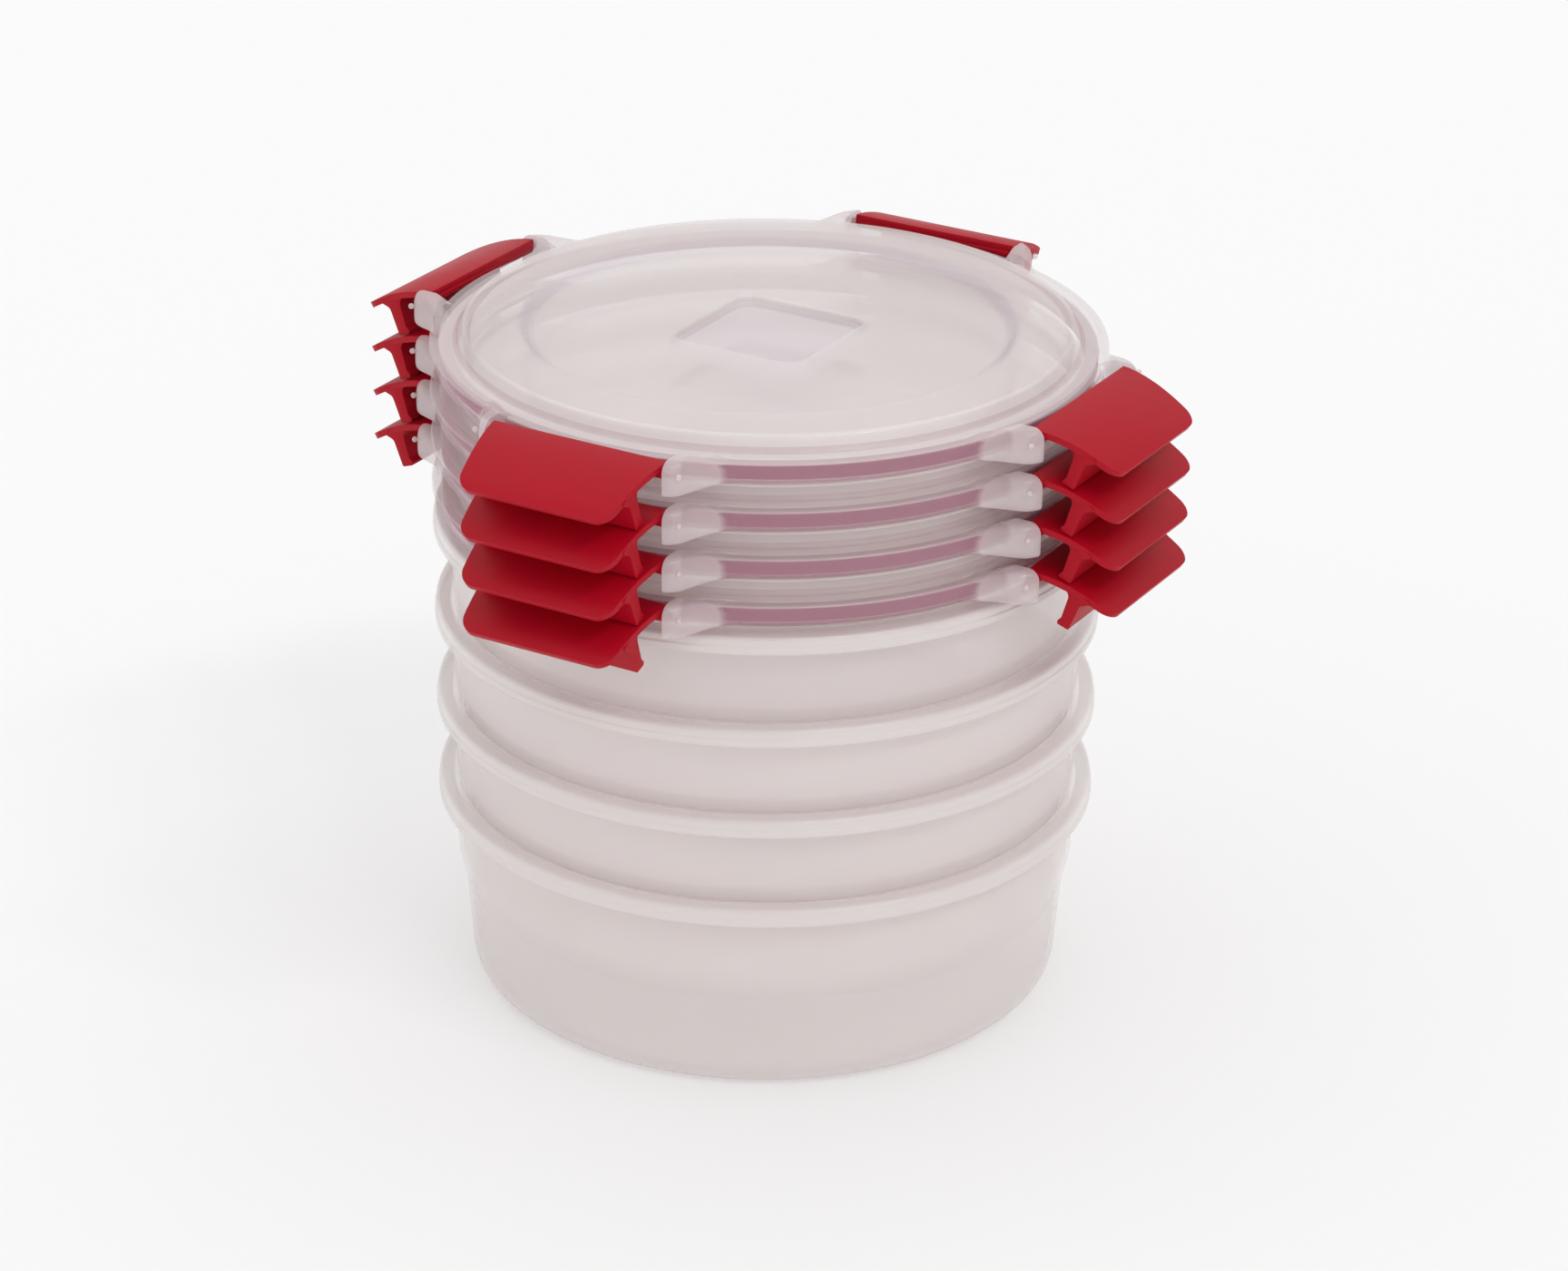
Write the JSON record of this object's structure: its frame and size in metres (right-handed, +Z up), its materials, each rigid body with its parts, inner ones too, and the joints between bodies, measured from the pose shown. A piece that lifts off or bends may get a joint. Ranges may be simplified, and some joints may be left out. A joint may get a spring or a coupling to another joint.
{
  "type": "nesting food storage container set",
  "caption": "Set of round frosted-clear food storage tubs nested in one another, with the matching clip-on lids stacked on top; each lid has hinged red snap latches and a soft sealing ring.",
  "frame": {"origin": "centre of the bottom tub's base, on the surface the set stands on", "axes": "+Z up along the common axis of tubs and lids; the latches stand on the X and Y axes, the front column on -Y"},
  "size_m": [0.2306, 0.2306, 0.1869],
  "materials": {
    "clear_plastic": "frosted translucent polypropylene",
    "seal_rubber": "matt silicone, mauve through the lid",
    "red_plastic": "satin, fine moulded texture"
  },
  "bodies": {
    "tub_1": {"tub_1": "clear_plastic"},
    "tub_2": {"tub_2": "clear_plastic"},
    "tub_3": {"tub_3": "clear_plastic"},
    "tub_4": {"tub_4": "clear_plastic"},
    "lid_1": {"lid_1": "clear_plastic", "seal_1": "seal_rubber"},
    "lid_2": {"lid_2": "clear_plastic", "seal_2": "seal_rubber"},
    "lid_3": {"lid_3": "clear_plastic", "seal_3": "seal_rubber"},
    "lid_4": {"lid_4": "clear_plastic", "seal_4": "seal_rubber"},
    "latch_right_1": {"latch_right_1": "red_plastic"},
    "latch_back_1": {"latch_back_1": "red_plastic"},
    "latch_left_1": {"latch_left_1": "red_plastic"},
    "latch_front_1": {"latch_front_1": "red_plastic"},
    "latch_right_2": {"latch_right_2": "red_plastic"},
    "latch_back_2": {"latch_back_2": "red_plastic"},
    "latch_left_2": {"latch_left_2": "red_plastic"},
    "latch_front_2": {"latch_front_2": "red_plastic"},
    "latch_right_3": {"latch_right_3": "red_plastic"},
    "latch_back_3": {"latch_back_3": "red_plastic"},
    "latch_left_3": {"latch_left_3": "red_plastic"},
    "latch_front_3": {"latch_front_3": "red_plastic"},
    "latch_right_4": {"latch_right_4": "red_plastic"},
    "latch_back_4": {"latch_back_4": "red_plastic"},
    "latch_left_4": {"latch_left_4": "red_plastic"},
    "latch_front_4": {"latch_front_4": "red_plastic"}
  },
  "joints": [
    {"name": "tub_2_lift", "type": "slide", "parent": "tub_1", "child": "tub_2", "axis": [0, 0, 1], "range_m": [0, 0.06]},
    {"name": "tub_3_lift", "type": "slide", "parent": "tub_2", "child": "tub_3", "axis": [0, 0, 1], "range_m": [0, 0.06]},
    {"name": "tub_4_lift", "type": "slide", "parent": "tub_3", "child": "tub_4", "axis": [0, 0, 1], "range_m": [0, 0.06]},
    {"name": "lid_1_lift", "type": "slide", "parent": "tub_4", "child": "lid_1", "axis": [0, 0, 1], "range_m": [0, 0.04]},
    {"name": "lid_2_lift", "type": "slide", "parent": "lid_1", "child": "lid_2", "axis": [0, 0, 1], "range_m": [0, 0.04]},
    {"name": "lid_3_lift", "type": "slide", "parent": "lid_2", "child": "lid_3", "axis": [0, 0, 1], "range_m": [0, 0.04]},
    {"name": "lid_4_lift", "type": "slide", "parent": "lid_3", "child": "lid_4", "axis": [0, 0, 1], "range_m": [0, 0.04]},
    {"name": "latch_right_1_hinge", "type": "hinge", "parent": "lid_1", "child": "latch_right_1", "pos_m": [0.0932, 0, 0.1429], "axis": [0, -1, 0], "range_deg": [-44, 0]},
    {"name": "latch_right_2_hinge", "type": "hinge", "parent": "lid_2", "child": "latch_right_2", "pos_m": [0.0932, 0, 0.1558], "axis": [0, -1, 0], "range_deg": [0, 57.6]},
    {"name": "latch_right_3_hinge", "type": "hinge", "parent": "lid_3", "child": "latch_right_3", "pos_m": [0.0932, 0, 0.1687], "axis": [0, -1, 0], "range_deg": [0, 72]},
    {"name": "latch_right_4_hinge", "type": "hinge", "parent": "lid_4", "child": "latch_right_4", "pos_m": [0.0932, 0, 0.1816], "axis": [0, -1, 0], "range_deg": [0, 90]},
    {"name": "latch_back_1_hinge", "type": "hinge", "parent": "lid_1", "child": "latch_back_1", "pos_m": [0, 0.0932, 0.1429], "axis": [1, 0, 0], "range_deg": [-44, 0]},
    {"name": "latch_back_2_hinge", "type": "hinge", "parent": "lid_2", "child": "latch_back_2", "pos_m": [0, 0.0932, 0.1558], "axis": [1, 0, 0], "range_deg": [0, 57.6]},
    {"name": "latch_back_3_hinge", "type": "hinge", "parent": "lid_3", "child": "latch_back_3", "pos_m": [0, 0.0932, 0.1687], "axis": [1, 0, 0], "range_deg": [0, 72]},
    {"name": "latch_back_4_hinge", "type": "hinge", "parent": "lid_4", "child": "latch_back_4", "pos_m": [0, 0.0932, 0.1816], "axis": [1, 0, 0], "range_deg": [0, 90]},
    {"name": "latch_left_1_hinge", "type": "hinge", "parent": "lid_1", "child": "latch_left_1", "pos_m": [-0.0932, 0, 0.1429], "axis": [0, 1, 0], "range_deg": [-44, 0]},
    {"name": "latch_left_2_hinge", "type": "hinge", "parent": "lid_2", "child": "latch_left_2", "pos_m": [-0.0932, 0, 0.1558], "axis": [0, 1, 0], "range_deg": [0, 57.6]},
    {"name": "latch_left_3_hinge", "type": "hinge", "parent": "lid_3", "child": "latch_left_3", "pos_m": [-0.0932, 0, 0.1687], "axis": [0, 1, 0], "range_deg": [0, 72]},
    {"name": "latch_left_4_hinge", "type": "hinge", "parent": "lid_4", "child": "latch_left_4", "pos_m": [-0.0932, 0, 0.1816], "axis": [0, 1, 0], "range_deg": [0, 90]},
    {"name": "latch_front_1_hinge", "type": "hinge", "parent": "lid_1", "child": "latch_front_1", "pos_m": [0, -0.0932, 0.1429], "axis": [-1, 0, 0], "range_deg": [-44, 0]},
    {"name": "latch_front_2_hinge", "type": "hinge", "parent": "lid_2", "child": "latch_front_2", "pos_m": [0, -0.0932, 0.1558], "axis": [-1, 0, 0], "range_deg": [0, 57.6]},
    {"name": "latch_front_3_hinge", "type": "hinge", "parent": "lid_3", "child": "latch_front_3", "pos_m": [0, -0.0932, 0.1687], "axis": [-1, 0, 0], "range_deg": [0, 72]},
    {"name": "latch_front_4_hinge", "type": "hinge", "parent": "lid_4", "child": "latch_front_4", "pos_m": [0, -0.0932, 0.1816], "axis": [-1, 0, 0], "range_deg": [0, 90]}
  ],
  "couplings": [
    {"joint": "latch_right_3_hinge", "follows": "latch_right_4_hinge", "ratio": 0.8},
    {"joint": "latch_right_2_hinge", "follows": "latch_right_4_hinge", "ratio": 0.64},
    {"joint": "latch_back_3_hinge", "follows": "latch_back_4_hinge", "ratio": 0.8},
    {"joint": "latch_back_2_hinge", "follows": "latch_back_4_hinge", "ratio": 0.64},
    {"joint": "latch_left_3_hinge", "follows": "latch_left_4_hinge", "ratio": 0.8},
    {"joint": "latch_left_2_hinge", "follows": "latch_left_4_hinge", "ratio": 0.64},
    {"joint": "latch_front_3_hinge", "follows": "latch_front_4_hinge", "ratio": 0.8},
    {"joint": "latch_front_2_hinge", "follows": "latch_front_4_hinge", "ratio": 0.64}
  ]
}
